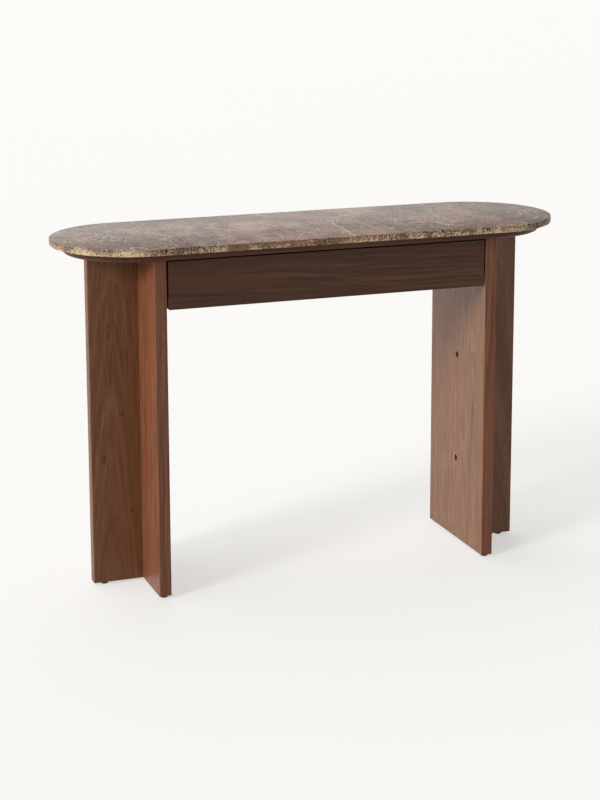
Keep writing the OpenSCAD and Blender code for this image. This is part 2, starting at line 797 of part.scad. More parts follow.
stone_top();
stone_dots();
sub_top();
left_cross_panel();
right_cross_panel();
left_outer_panel();
right_outer_panel();
rear_apron();
leg_bolts();
leg_bolt_washers();
leg_bolt_inserts();
leg_dowels();
top_dowels();
apron_dowels();
cam_locks();
cam_pins();
cam_covers();
foot_glides();
glide_nails();
left_slide_outer();
right_slide_outer();
slide_buffers();
slide_frame_screws();
left_slide_middle();
right_slide_middle();
left_outer_cage();
right_outer_cage();
left_inner_cage();
right_inner_cage();
left_outer_balls();
right_outer_balls();
left_inner_balls();
right_inner_balls();
left_slide_inner();
right_slide_inner();
slide_drawer_screws();
drawer_front();
drawer_box_front();
drawer_left_side();
drawer_right_side();
drawer_back();
drawer_bottom();
drawer_dowels();
drawer_front_screws();
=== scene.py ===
"""Console table: a round-ended marble top on walnut panel legs, with one flush drawer.

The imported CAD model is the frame. The boards and the stone are modelled again here with eased and
broken edges, in the same places, and the hardware keeps its CAD shape and gets its finish.
Metres throughout, +X along the table, -Y towards the front, +Z up.
"""

import json
import logging
import math
from collections.abc import Callable, Iterable
from dataclasses import dataclass, field
from enum import Enum

import bmesh
import bpy
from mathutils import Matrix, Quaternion, Vector


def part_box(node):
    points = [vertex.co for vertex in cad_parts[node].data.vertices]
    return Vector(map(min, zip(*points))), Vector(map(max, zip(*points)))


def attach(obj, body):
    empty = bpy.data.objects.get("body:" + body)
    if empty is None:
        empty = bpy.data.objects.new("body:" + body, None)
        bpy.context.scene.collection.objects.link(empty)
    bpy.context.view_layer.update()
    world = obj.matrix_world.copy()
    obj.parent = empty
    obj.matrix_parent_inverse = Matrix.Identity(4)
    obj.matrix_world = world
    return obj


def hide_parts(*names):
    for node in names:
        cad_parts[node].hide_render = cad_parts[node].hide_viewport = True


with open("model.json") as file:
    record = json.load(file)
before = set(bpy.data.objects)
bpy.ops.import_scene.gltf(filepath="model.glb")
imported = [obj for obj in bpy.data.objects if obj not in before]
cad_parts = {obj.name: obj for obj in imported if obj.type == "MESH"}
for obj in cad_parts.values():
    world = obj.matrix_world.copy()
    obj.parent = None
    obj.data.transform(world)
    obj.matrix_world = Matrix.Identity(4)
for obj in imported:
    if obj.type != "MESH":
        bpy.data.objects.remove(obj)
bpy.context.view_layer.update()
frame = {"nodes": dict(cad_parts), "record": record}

MM = 0.001
LOG = logging.getLogger("console_table")
SIDES = {"left": -1, "right": 1}

Tree = bpy.types.NodeTree
Socket = bpy.types.NodeSocket
Material = bpy.types.Material
Piece = bpy.types.Object
Box = tuple[Vector, Vector]
Stops = tuple[tuple[float, str], ...]
EdgeTest = Callable[[Vector, Vector], bool]


class Axis(Enum):
    """A direction of the table's frame."""

    X = 0
    Y = 1
    Z = 2


# ---------------------------------------------------------------- colours and shader nodes


def linear(hex_colour: str) -> tuple[float, float, float, float]:
    """Turns an sRGB hex colour to linear light.

    Args:
        hex_colour: six hex digits, such as "5a4030".

    Returns:
        Linear red, green and blue, and an alpha of 1.
    """
    values = [int(hex_colour[i : i + 2], 16) / 255 for i in (0, 2, 4)]
    red, green, blue = (v / 12.92 if v <= 0.04045 else ((v + 0.055) / 1.055) ** 2.4 for v in values)
    return red, green, blue, 1.0


def add_node(
    tree: Tree,
    kind: str,
    inputs: dict[str | int, object] | None = None,
    stops: Stops = (),
    **settings: object,
) -> bpy.types.Node:
    """Adds a shader node with its settings and links.

    Args:
        tree: the node tree that the node goes into.
        kind: the node's type, without its "ShaderNode" start.
        inputs: a constant or an output socket for each input, by the input's name or number.
        stops: places and hex colours of a colour ramp.
        settings: the node's own properties.

    Returns:
        The new node.
    """
    node = tree.nodes.new("ShaderNode" + kind)
    for name, value in settings.items():
        setattr(node, name, value)
    for socket, value in (inputs or {}).items():
        if isinstance(value, Socket):
            tree.links.new(value, node.inputs[socket])
        else:
            node.inputs[socket].default_value = value
    for i, (place, colour) in enumerate(stops):
        elements = node.color_ramp.elements
        stop = elements[i] if i < 2 else elements.new(place)
        stop.position, stop.color = place, linear(colour)
    return node


def new_material(name: str) -> tuple[Material, Tree, Socket]:
    """Starts a material that has only its output.

    Args:
        name: the material's name.

    Returns:
        The material, its node tree, and the Object coordinates.
    """
    material = bpy.data.materials.new(name)
    material.use_nodes = True
    material.node_tree.nodes.clear()
    place = add_node(material.node_tree, "TexCoord").outputs["Object"]
    return material, material.node_tree, place


def finish_material(tree: Tree, shader: bpy.types.Node) -> None:
    """Joins a shader to the material's output."""
    add_node(tree, "OutputMaterial", {"Surface": shader.outputs[0]})


def waves(size_mm: float) -> float:
    """The scale that gives a pattern this size in millimetres."""
    return 1.0 / (size_mm * MM)


def stretched(tree: Tree, place: Socket, factors: tuple[float, float, float]) -> Socket:
    """Coordinates multiplied by one factor for each direction."""
    return add_node(tree, "VectorMath", {0: place, 1: factors}, operation="MULTIPLY").outputs[0]


def wandering(tree: Tree, place: Socket, source: Socket, wave_mm: float, reach_mm: float) -> Socket:
    """Coordinates pushed about by a noise.

    Args:
        tree: the material's node tree.
        place: the coordinates that are pushed.
        source: the coordinates that the noise reads.
        wave_mm: length of the noise's waves.
        reach_mm: how far it pushes.

    Returns:
        The pushed coordinates.
    """
    noise = add_node(tree, "TexNoise", {"Vector": source, "Scale": waves(wave_mm), "Detail": 2.0})
    centred = add_node(
        tree, "VectorMath", {0: noise.outputs["Color"], 1: (0.5, 0.5, 0.5)}, operation="SUBTRACT"
    )
    reach = [reach_mm * MM] * 3
    push = {0: centred.outputs[0], 1: reach, 2: place}
    return add_node(tree, "VectorMath", push, operation="MULTIPLY_ADD").outputs[0]


# ---------------------------------------------------------------- finishes


@dataclass(frozen=True)
class Walnut:
    """Black walnut veneer, sliced from a log, sanded and oiled to a satin sheen.

    The grain is a log's growth rings cut by the board's faces: rings round a heart line that leans
    a little against the board, so that a face near the heart shows tall pointed arches and a face
    far from it shows straight stripes. The eye sees broad brown bands, fine fibre streaks along
    them, and short dark pores.

    Attributes:
        name: the material's name.
        heart: a point on the log's heart line, in metres.
        turn: the log's turn in degrees; at no turn its fibres run up +Z.
        dark, middle, light: sRGB hex colours of late wood, of most of the wood and of pale bands.
        warm: sRGB hex colour that the redder zones lean to.
        ring_mm: distance between growth bands. Real rings of 2 to 4 mm are too fine to show, so
            they are drawn as coarse as shows.
        line_share: how far the late-wood lines stand out from the broader bands.
        fibre_share: how far the fibre streaks stand out from the growth bands.
        streak: contrast of the fibre streaks.
        gloss: strength of the oil's mirror reflection; 0.5 is a full coat.
        knots: small knots, each a point on the face and a radius, in metres.
    """

    name: str
    heart: tuple[float, float, float]
    turn: tuple[float, float, float] = (0.0, 0.0, 0.0)
    dark: str = "492a16"
    middle: str = "653d24"
    light: str = "7a5034"
    warm: str = "693820"
    ring_mm: float = 9.0
    line_share: float = 0.35
    fibre_share: float = 0.42
    streak: float = 0.6
    gloss: float = 0.32
    knots: tuple[tuple[float, float, float, float], ...] = ()

    def material(self) -> Material:
        """Makes the veneer's material."""
        material, tree, place = new_material(self.name)
        log = add_node(
            tree,
            "Mapping",
            {"Vector": place, "Location": self.heart, "Rotation": [math.radians(a) for a in self.turn]},
            vector_type="TEXTURE",
        ).outputs[0]
        slow = stretched(tree, log, (1.0, 1.0, 0.22))
        bent = wandering(tree, log, slow, wave_mm=200.0, reach_mm=30.0)
        bent = wandering(tree, bent, slow, wave_mm=52.6, reach_mm=7.0)
        radius = self._radius(tree, bent)
        bands = self._bands(tree, radius)
        fibres = self._fibres(tree, bent)
        pores = self._pores(tree, bent)
        colour = self._colour(tree, slow, bands, fibres, pores)
        colour = self._with_knots(tree, place, colour)
        roughness = add_node(
            tree,
            "MapRange",
            {"Value": fibres, "From Min": 0.3, "From Max": 0.7, "To Min": 0.46, "To Max": 0.36},
        )
        relief = add_node(tree, "Math", {0: fibres, 1: pores}, operation="MULTIPLY")
        bump = add_node(tree, "Bump", {"Height": relief.outputs[0], "Strength": 0.35, "Distance": 0.3 * MM})
        shader = add_node(
            tree,
            "BsdfPrincipled",
            {
                "Base Color": colour,
                "Roughness": roughness.outputs[0],
                "Normal": bump.outputs[0],
                "IOR": 1.5,
                "Specular IOR Level": self.gloss,
            },
        )
        finish_material(tree, shader)
        return material

    def _radius(self, tree: Tree, log: Socket) -> Socket:
        """Distance from the log's heart line."""
        across = stretched(tree, log, (1.0, 1.0, 0.0))
        return add_node(tree, "VectorMath", {0: across}, operation="LENGTH").outputs["Value"]

    def _bands(self, tree: Tree, radius: Socket) -> Socket:
        """Growth bands of uneven width, each darkening outwards to a sharp line; 0 is dark."""
        years = add_node(tree, "Math", {0: radius, 1: waves(self.ring_mm)}, operation="MULTIPLY").outputs[0]
        uneven = add_node(
            tree,
            "TexNoise",
            {"W": years, "Scale": 1.0, "Detail": 3.0, "Roughness": 0.6},
            noise_dimensions="1D",
        ).outputs["Fac"]
        shifted = add_node(tree, "Math", {0: uneven, 1: 2.5, 2: years}, operation="MULTIPLY_ADD").outputs[0]
        within = add_node(tree, "Math", {0: shifted}, operation="FRACT").outputs[0]
        late = add_node(
            tree,
            "MapRange",
            {"Value": within, "From Min": 0.45, "From Max": 0.92, "To Min": 1.0, "To Max": 0.0},
            interpolation_type="SMOOTHSTEP",
        ).outputs[0]
        line = add_node(tree, "MapRange", {"Value": late, "To Min": 0.18, "To Max": 0.62}).outputs[0]
        return add_node(tree, "Mix", {0: self.line_share, 2: uneven, 3: line}).outputs[0]

    def _fibres(self, tree: Tree, log: Socket) -> Socket:
        """Streaks along the fibres, about 4 mm wide and ten times as fine where they break up."""
        drawn = stretched(tree, log, (1.0, 1.0, 0.022))
        return add_node(
            tree, "TexNoise", {"Vector": drawn, "Scale": waves(4.17), "Detail": 5.0, "Roughness": 0.65}
        ).outputs["Fac"]

    def _pores(self, tree: Tree, log: Socket) -> Socket:
        """Open pores, from 0 in a pore to 1 beside it. Real ones are 0.2 mm wide; these are 1 mm."""
        drawn = stretched(tree, log, (1.0, 1.0, 0.06))
        noise = add_node(tree, "TexNoise", {"Vector": drawn, "Scale": waves(1.05), "Detail": 1.0})
        return add_node(
            tree, "MapRange", {"Value": noise.outputs["Fac"], "From Min": 0.30, "From Max": 0.42}
        ).outputs[0]

    def _colour(self, tree: Tree, slow: Socket, bands: Socket, fibres: Socket, pores: Socket) -> Socket:
        """Mixes the wood's colours by its bands, fibres, pores and warmer zones."""
        drawn = add_node(
            tree,
            "MapRange",
            {
                "Value": fibres,
                "From Min": 0.30,
                "From Max": 0.70,
                "To Min": 0.5 - self.streak / 2,
                "To Max": 0.5 + self.streak / 2,
            },
        ).outputs[0]
        tone = add_node(tree, "Mix", {0: self.fibre_share, 2: bands, 3: drawn})
        wood = add_node(
            tree,
            "ValToRGB",
            {"Fac": tone.outputs[0]},
            stops=((0.34, self.dark), (0.66, self.light), (0.50, self.middle)),
        )
        zone = add_node(tree, "TexNoise", {"Vector": slow, "Scale": waves(143.0), "Detail": 2.0})
        warmth = add_node(
            tree,
            "MapRange",
            {"Value": zone.outputs["Fac"], "From Min": 0.42, "From Max": 0.68, "To Max": 0.55},
        )
        warmed = add_node(
            tree,
            "Mix",
            {0: warmth.outputs[0], 6: wood.outputs[0], 7: linear(self.warm)},
            data_type="RGBA",
        )
        pore = add_node(tree, "MapRange", {"Value": pores, "To Min": 0.80, "To Max": 1.0})
        return add_node(
            tree, "VectorMath", {0: warmed.outputs[2], "Scale": pore.outputs[0]}, operation="SCALE"
        ).outputs[0]

    def _with_knots(self, tree: Tree, place: Socket, colour: Socket) -> Socket:
        """Darkens the wood round each small knot."""
        for x, y, z, reach in self.knots:
            off = add_node(tree, "VectorMath", {0: place, 1: (x, y, z)}, operation="SUBTRACT")
            drawn = stretched(tree, off.outputs[0], (1.0, 0.3, 0.45))
            away = add_node(tree, "VectorMath", {0: drawn}, operation="LENGTH").outputs["Value"]
            shade = add_node(
                tree,
                "MapRange",
                {"Value": away, "From Min": 0.2 * reach, "From Max": reach, "To Min": 0.45, "To Max": 1.0},
                interpolation_type="SMOOTHSTEP",
            )
            colour = add_node(
                tree, "VectorMath", {0: colour, "Scale": shade.outputs[0]}, operation="SCALE"
            ).outputs[0]
        return colour


@dataclass(frozen=True)
class Vein:
    """A long pale vein through the marble: a thin wandering sheet.

    Attributes:
        through: a point on the sheet, in metres.
        across: the direction across the sheet.
        reach: how far from that point it runs before it fades.
        width_mm: the vein's width.
    """

    through: tuple[float, float, float]
    across: tuple[float, float, float]
    reach: float
    width_mm: float = 2.2


@dataclass(frozen=True)
class BrownMarble:
    """Dark brown brecciated marble.

    Angular brown fragments from 5 to 40 mm, healed by a net of fine cream calcite veins, with
    cloudier rosy patches. A honed face is smooth but not glossy, so at a low angle it greys over
    with the light of the room, while the broken edge shows the stone's own strong colours.

    Attributes:
        name: the material's name.
        browns: dark, middle and light sRGB hex colours of the fragments.
        cloud: sRGB hex colour of the rosy patches.
        calcite: sRGB hex colour of the veins.
        roughness: of the surface, as it was worked.
        fragment_mm: typical size of a fragment.
        net_share: how strongly the net of fine veins shows.
        mottle: how much of the stone is cream grains, from 0 to 1.
        mottle_mm: size of those grains.
        veins: the long veins.
    """

    name: str
    browns: tuple[str, str, str] = ("32221a", "50392d", "6e5446")
    cloud: str = "92705d"
    calcite: str = "cbb5a2"
    roughness: float = 0.42
    fragment_mm: float = 16.0
    net_share: float = 0.72
    mottle: float = 0.0
    mottle_mm: float = 6.0
    veins: tuple[Vein, ...] = ()

    def material(self) -> Material:
        """Makes the stone's material."""
        material, tree, place = new_material(self.name)
        bent = wandering(tree, place, place, wave_mm=71.4, reach_mm=34.0)
        bent = wandering(tree, bent, bent, wave_mm=14.3, reach_mm=9.0)
        colour = self._fragments(tree, place, bent)
        pale = self._pale(tree, place, bent)
        veined = add_node(
            tree, "Mix", {0: pale, 6: colour, 7: linear(self.calcite)}, data_type="RGBA"
        ).outputs[2]
        grit = add_node(tree, "TexNoise", {"Vector": place, "Scale": waves(2.4), "Detail": 3.0})
        bump = add_node(tree, "Bump", {"Height": grit.outputs["Fac"], "Strength": 0.25, "Distance": 0.3 * MM})
        sheen = add_node(
            tree,
            "MapRange",
            {"Value": grit.outputs["Fac"], "To Min": self.roughness - 0.06, "To Max": self.roughness + 0.10},
        )
        shader = add_node(
            tree,
            "BsdfPrincipled",
            {
                "Base Color": veined,
                "Roughness": sheen.outputs[0],
                "Normal": bump.outputs[0],
                "IOR": 1.5,
                "Specular IOR Level": 0.34,
            },
        )
        finish_material(tree, shader)
        return material

    def _fragments(self, tree: Tree, place: Socket, bent: Socket) -> Socket:
        """The brown fragments: a tone for each, clouded within, and rosy patches over the middle."""
        cells = add_node(tree, "TexVoronoi", {"Vector": bent, "Scale": waves(self.fragment_mm)})
        own = add_node(tree, "SeparateColor", {"Color": cells.outputs["Color"]}).outputs[0]
        cloud = add_node(
            tree, "TexNoise", {"Vector": bent, "Scale": waves(14.3), "Detail": 8.0, "Roughness": 0.75}
        )
        tone = add_node(tree, "Mix", {0: 0.72, 2: own, 3: cloud.outputs["Fac"]})
        dark, middle, light = self.browns
        brown = add_node(
            tree,
            "ValToRGB",
            {"Fac": tone.outputs[0]},
            stops=((0.36, dark), (0.64, light), (0.50, middle)),
        )
        patch = add_node(
            tree, "TexNoise", {"Vector": bent, "Scale": waves(111.0), "Detail": 6.0, "Roughness": 0.7}
        )
        along = add_node(tree, "SeparateXYZ", {0: place}).outputs["X"]
        out = add_node(tree, "Math", {0: along}, operation="ABSOLUTE").outputs[0]
        bias = add_node(
            tree,
            "MapRange",
            {"Value": out, "From Min": 0.10, "From Max": 0.55, "To Min": 0.03, "To Max": -0.09},
        ).outputs[0]
        total = add_node(tree, "Math", {0: patch.outputs["Fac"], 1: bias}, operation="ADD").outputs[0]
        rosy = add_node(
            tree, "MapRange", {"Value": total, "From Min": 0.46, "From Max": 0.64, "To Max": 0.75}
        )
        return add_node(
            tree, "Mix", {0: rosy.outputs[0], 6: brown.outputs[0], 7: linear(self.cloud)}, data_type="RGBA"
        ).outputs[2]

    def _pale(self, tree: Tree, place: Socket, bent: Socket) -> Socket:
        """How much calcite shows, from 0 to 1: the nets, the grains and the long veins."""
        broken = add_node(
            tree, "TexNoise", {"Vector": place, "Scale": waves(77.0), "Detail": 3.0}
        ).outputs["Fac"]
        pale = None
        for cell_mm, width, low, high, share in (
            (self.fragment_mm * 1.6, 0.05, 0.46, 0.62, 1.0),
            (self.fragment_mm * 0.8, 0.07, 0.40, 0.55, 0.7),
            (self.fragment_mm * 0.4, 0.10, 0.62, 0.40, 0.55),
        ):
            net = self._net(tree, bent, cell_mm, width)
            where = add_node(
                tree,
                "MapRange",
                {"Value": broken, "From Min": low, "From Max": high, "To Max": share * self.net_share},
            ).outputs[0]
            shown = add_node(tree, "Math", {0: net, 1: where}, operation="MULTIPLY").outputs[0]
            pale = (
                shown
                if pale is None
                else add_node(tree, "Math", {0: pale, 1: shown}, operation="MAXIMUM").outputs[0]
            )
        if self.mottle:
            grains = self._grains(tree, place)
            pale = add_node(tree, "Math", {0: pale, 1: grains}, operation="MAXIMUM").outputs[0]
        for vein in self.veins:
            long_vein = self._long_vein(tree, place, vein)
            pale = add_node(tree, "Math", {0: pale, 1: long_vein}, operation="MAXIMUM").outputs[0]
        return pale

    def _net(self, tree: Tree, bent: Socket, cell_mm: float, width: float) -> Socket:
        """The net of veins between fragments, from 0 inside a fragment to 1 in a vein."""
        edges = add_node(
            tree, "TexVoronoi", {"Vector": bent, "Scale": waves(cell_mm)}, feature="DISTANCE_TO_EDGE"
        )
        return add_node(
            tree,
            "MapRange",
            {
                "Value": edges.outputs["Distance"],
                "From Min": 0.0,
                "From Max": width,
                "To Min": 1.0,
                "To Max": 0.0,
            },
            interpolation_type="SMOOTHSTEP",
        ).outputs[0]

    def _grains(self, tree: Tree, place: Socket) -> Socket:
        """Cream grains of the broken edge, thickest round the left end, thin in dark runs."""
        fine = add_node(
            tree,
            "TexNoise",
            {"Vector": place, "Scale": waves(self.mottle_mm), "Detail": 4.0, "Roughness": 0.6},
        ).outputs["Fac"]
        runs = add_node(
            tree, "TexNoise", {"Vector": place, "Scale": waves(38.5), "Detail": 3.0}
        ).outputs["Fac"]
        parts = add_node(tree, "SeparateXYZ", {0: place}).outputs
        total = add_node(tree, "Math", {0: runs, 1: 0.45, 2: fine}, operation="MULTIPLY_ADD").outputs[0]
        for axis, start, end, first, last in (
            ("X", -0.50, -0.38, 0.07, 0.0),
            ("X", 0.05, 0.35, 0.0, 0.07),
            ("Z", 0.785, 0.800, 0.05, -0.05),
        ):
            more = add_node(
                tree,
                "MapRange",
                {"Value": parts[axis], "From Min": start, "From Max": end, "To Min": first, "To Max": last},
            ).outputs[0]
            total = add_node(tree, "Math", {0: total, 1: more}, operation="ADD").outputs[0]
        return add_node(
            tree,
            "MapRange",
            {"Value": total, "From Min": 0.765, "From Max": 0.86, "To Max": self.mottle},
        ).outputs[0]

    def _long_vein(self, tree: Tree, place: Socket, vein: Vein) -> Socket:
        """One long vein, from 0 beside it to 1 in it."""
        bent = wandering(tree, place, place, wave_mm=45.5, reach_mm=16.0)
        off = add_node(tree, "VectorMath", {0: bent, 1: vein.through}, operation="SUBTRACT")
        across = Vector(vein.across).normalized()
        depth = add_node(tree, "VectorMath", {0: off.outputs[0], 1: tuple(across)}, operation="DOT_PRODUCT")
        away = add_node(tree, "Math", {0: depth.outputs["Value"]}, operation="ABSOLUTE")
        along = add_node(tree, "VectorMath", {0: off.outputs[0]}, operation="LENGTH")
        width = vein.width_mm * MM
        return add_node(tree, "Math", {
            0: self._fading(tree, away.outputs[0], 0.3 * width, width, 0.6),
            1: self._fading(tree, along.outputs["Value"], vein.reach, 1.25 * vein.reach, 1.0),
        }, operation="MULTIPLY").outputs[0]

    def _fading(self, tree: Tree, distance: Socket, start: float, end: float, full: float) -> Socket:
        """A value that is full up to one distance and fades to 0 at another."""
        return add_node(
            tree,
            "MapRange",
            {"Value": distance, "From Min": start, "From Max": end, "To Min": full, "To Max": 0.0},
            interpolation_type="SMOOTHSTEP",
        ).outputs[0]


@dataclass(frozen=True)
class Metal:
    """A metal part: its colour, how rough its finish is, and the grain that the working left.

    Attributes:
        name: the material's name.
        colour: sRGB hex colour.
        roughness: middle roughness.
        grain_mm: distance between rolling or tumbling marks.
        along: the direction that the marks run along, or None where they run no way.
    """

    name: str
    colour: str
    roughness: float
    grain_mm: float = 1.0
    along: Axis | None = None

    def material(self) -> Material:
        """Makes the metal's material, a little dulled in patches of about 11 mm."""
        material, tree, place = new_material(self.name)
        factors = [1.0, 1.0, 1.0]
        if self.along is not None:
            factors[self.along.value] = 0.05
        drawn = stretched(tree, place, tuple(factors))
        marks = add_node(tree, "TexNoise", {"Vector": drawn, "Scale": waves(self.grain_mm), "Detail": 3.0})
        tarnish = add_node(tree, "TexNoise", {"Vector": place, "Scale": waves(11.1), "Detail": 3.0})
        shade = add_node(tree, "MapRange", {"Value": tarnish.outputs["Fac"], "To Min": 0.82, "To Max": 1.0})
        inputs = worked_surface(tree, self, marks.outputs["Fac"], shade.outputs[0], swing=0.08, depth=0.15)
        finish_material(tree, add_node(tree, "BsdfPrincipled", {**inputs, "Metallic": 1.0}))
        return material


@dataclass(frozen=True)
class Moulded:
    """A moulded plastic or rubber part, with the fine spark-eroded grain of its mould.

    Attributes:
        name: the material's name.
        colour: sRGB hex colour.
        roughness: middle roughness.
        ior: index of refraction.
        grain_mm: size of the grain.
    """

    name: str
    colour: str
    roughness: float
    ior: float = 1.5
    grain_mm: float = 0.8

    def material(self) -> Material:
        """Makes the moulded part's material."""
        material, tree, place = new_material(self.name)
        grain = add_node(tree, "TexNoise", {"Vector": place, "Scale": waves(self.grain_mm), "Detail": 2.0})
        shade = add_node(tree, "MapRange", {"Value": grain.outputs["Fac"], "To Min": 0.85, "To Max": 1.1})
        inputs = worked_surface(tree, self, grain.outputs["Fac"], shade.outputs[0], swing=0.07, depth=0.3)
        finish_material(tree, add_node(tree, "BsdfPrincipled", {**inputs, "IOR": self.ior}))
        return material


def worked_surface(
    tree: Tree, finish: Metal | Moulded, marks: Socket, shade: Socket, swing: float, depth: float
) -> dict[str, Socket]:
    """The shader inputs of a plain surface that its working left marks in.

    Args:
        tree: the material's node tree.
        finish: gives the colour and the middle roughness.
        marks: the marks, from 0 to 1.
        shade: how bright the colour is from place to place.
        swing: how far the roughness goes up and down with the marks.
        depth: how strongly the marks stand up.

    Returns:
        The colour, the roughness and the bumps.
    """
    low, high = finish.roughness - swing, finish.roughness + swing
    rough = add_node(tree, "MapRange", {"Value": marks, "To Min": low, "To Max": high})
    base = linear(finish.colour)[:3]
    colour = add_node(tree, "VectorMath", {0: base, "Scale": shade}, operation="SCALE")
    bump = add_node(tree, "Bump", {"Height": marks, "Strength": depth, "Distance": 0.1 * MM})
    return {"Base Color": colour.outputs[0], "Roughness": rough.outputs[0], "Normal": bump.outputs[0]}


# ---------------------------------------------------------------- modelling


def deselect_all() -> None:
    """Leaves edit mode and selects nothing."""
    if bpy.context.object and bpy.context.object.mode != "OBJECT":
        bpy.ops.object.mode_set(mode="OBJECT")
    bpy.ops.object.select_all(action="DESELECT")


def make_active(piece: Piece) -> None:
    """Selects one piece and nothing else."""
    deselect_all()
    piece.select_set(True)
    bpy.context.view_layer.objects.active = piece


def settle(piece: Piece) -> None:
    """Puts a piece's place, turn and scale into its mesh."""
    make_active(piece)
    bpy.ops.object.transform_apply(location=True, rotation=True, scale=True)


def add_block(name: str, low: Vector, high: Vector) -> Piece:
    """Adds a block between two corners.

    Args:
        name: the piece's name.
        low: lowest corner.
        high: highest corner.

    Returns:
        The block, with its place in its mesh.
    """
    deselect_all()
    bpy.ops.mesh.primitive_cube_add(size=1.0, location=(low + high) / 2)
    block = bpy.context.object
    block.name = block.data.name = name
    block.scale = high - low
    settle(block)
    return block


def edit_edges(piece: Piece, wanted: EdgeTest) -> None:
    """Enters edit mode with only the wanted edges selected.

    Args:
        piece: the piece to edit.
        wanted: says of an edge's two ends whether the edge is selected.
    """
    make_active(piece)
    bpy.ops.object.mode_set(mode="EDIT")
    bpy.ops.mesh.select_mode(type="EDGE")
    bpy.ops.mesh.select_all(action="DESELECT")
    mesh = bmesh.from_edit_mesh(piece.data)
    for edge in mesh.edges:
        edge.select = wanted(edge.verts[0].co, edge.verts[1].co)
    mesh.select_flush_mode()
    bmesh.update_edit_mesh(piece.data)


def edit_faces(piece: Piece, wanted: EdgeTest) -> None:
    """Enters edit mode with only the wanted faces selected.

    Args:
        piece: the piece to edit.
        wanted: says of a face's middle and normal whether the face is selected.
    """
    make_active(piece)
    bpy.ops.object.mode_set(mode="EDIT")
    bpy.ops.mesh.select_mode(type="FACE")
    bpy.ops.mesh.select_all(action="DESELECT")
    mesh = bmesh.from_edit_mesh(piece.data)
    for face in mesh.faces:
        face.select = wanted(face.calc_center_median(), face.normal)
    mesh.select_flush_mode()
    bmesh.update_edit_mesh(piece.data)


def runs_along(axis: Axis) -> EdgeTest:
    """A test for edges that run along one axis."""

    def test(start: Vector, end: Vector) -> bool:
        """Says whether the edge runs along the axis."""
        way = (end - start).normalized()
        return abs(way[axis.value]) > 0.999

    return test


def round_edges(piece: Piece, wanted: EdgeTest, radius: float, segments: int) -> None:
    """Rounds the wanted edges.

    Args:
        piece: the piece to edit.
        wanted: says of an edge's two ends whether it is rounded.
        radius: the round's radius in metres.
        segments: faces across the round.
    """
    edit_edges(piece, wanted)
    bpy.ops.mesh.bevel(
        offset=radius, offset_type="OFFSET", segments=segments, affect="EDGES", clamp_overlap=True
    )
    bpy.ops.mesh.select_all(action="SELECT")
    bpy.ops.mesh.remove_doubles(threshold=0.01 * MM)
    deselect_all()


def apply_modifier(piece: Piece, kind: str, **settings: object) -> None:
    """Gives a piece one modifier and applies it.

    Args:
        piece: the piece.
        kind: the modifier's type.
        settings: the modifier's properties.
    """
    make_active(piece)
    modifier = piece.modifiers.new(kind.lower(), kind)
    for name, value in settings.items():
        setattr(modifier, name, value)
    bpy.ops.object.modifier_apply(modifier=modifier.name)


def cut(piece: Piece, tool: Piece) -> None:
    """Cuts the tool's shape out of a piece, and removes the tool."""
    apply_modifier(piece, "BOOLEAN", operation="DIFFERENCE", solver="EXACT", object=tool)
    bpy.data.meshes.remove(tool.data)


def cut_round(piece: Piece, middle: Vector, axis: Axis, radius: float, depth: float) -> None:
    """Cuts a round pocket.

    Args:
        piece: the board.
        middle: the middle of the cutting cylinder.
        axis: the direction of the pocket's axis.
        radius: the pocket's radius.
        depth: the cutting cylinder's length.
    """
    deselect_all()
    bpy.ops.mesh.primitive_cylinder_add(vertices=48, radius=radius, depth=depth, location=middle)
    tool = bpy.context.object
    if axis is Axis.X:
        tool.rotation_euler.y = math.pi / 2
    elif axis is Axis.Y:
        tool.rotation_euler.x = math.pi / 2
    settle(tool)
    cut(piece, tool)


def smooth(piece: Piece, degrees: float = 32.0) -> None:
    """Shades a piece smooth, apart from the edges sharper than an angle."""
    make_active(piece)
    bpy.ops.object.shade_smooth_by_angle(angle=math.radians(degrees))


def solids_of(node: str) -> list[Box]:
    """Lowest and highest corner of each separate solid in a CAD node.

    Args:
        node: the node's name.

    Returns:
        One box for each solid.
    """
    mesh = bmesh.new()
    mesh.from_mesh(frame["nodes"][node].data)
    bmesh.ops.remove_doubles(mesh, verts=mesh.verts, dist=0.001 * MM)
    boxes, seen = [], set()
    for start in mesh.verts:
        if start in seen:
            continue
        seen.add(start)
        queue, points = [start], []
        while queue:
            vertex = queue.pop()
            points.append(vertex.co.copy())
            for edge in vertex.link_edges:
                other = edge.other_vert(vertex)
                if other not in seen:
                    seen.add(other)
                    queue.append(other)
        boxes.append(corners(points))
    mesh.free()
    return boxes


def corners(points: Iterable[Vector]) -> Box:
    """Lowest and highest corner of some points."""
    columns = list(zip(*points))
    return Vector(map(min, columns)), Vector(map(max, columns))


def hand_over(piece: Piece, node: str, material: Material) -> None:
    """Gives a finished piece its material, and lets it stand for its CAD node.

    Args:
        piece: the finished piece.
        node: the CAD node that it replaces.
        material: the piece's material.
    """
    piece.data.materials.clear()
    piece.data.materials.append(material)
    body = next(b for b, members in frame["record"]["behaviour"]["bodies"].items() if node in members)
    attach(piece, body)
    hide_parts(node)
    LOG.info("%s stands for %s on body %s", piece.name, node, body)


def dress_faces(piece: Piece, material: Material, wanted: Callable[[bpy.types.MeshPolygon], bool]) -> None:
    """Gives some faces of a piece a second material.

    Args:
        piece: the piece.
        material: the second material.
        wanted: says of a face whether it has that material.
    """
    piece.data.materials.append(material)
    for face in piece.data.polygons:
        if wanted(face):
            face.material_index = 1


def dress(nodes: Iterable[str], material: Material) -> None:
    """Gives CAD nodes a material in place of their plain one.

    Args:
        nodes: the nodes' names.
        material: the finish that they all share.
    """
    for name in nodes:
        mesh = frame["nodes"][name].data
        mesh.materials.clear()
        mesh.materials.append(material)
        LOG.info("%s is finished in %s", name, material.name)


# ---------------------------------------------------------------- the table


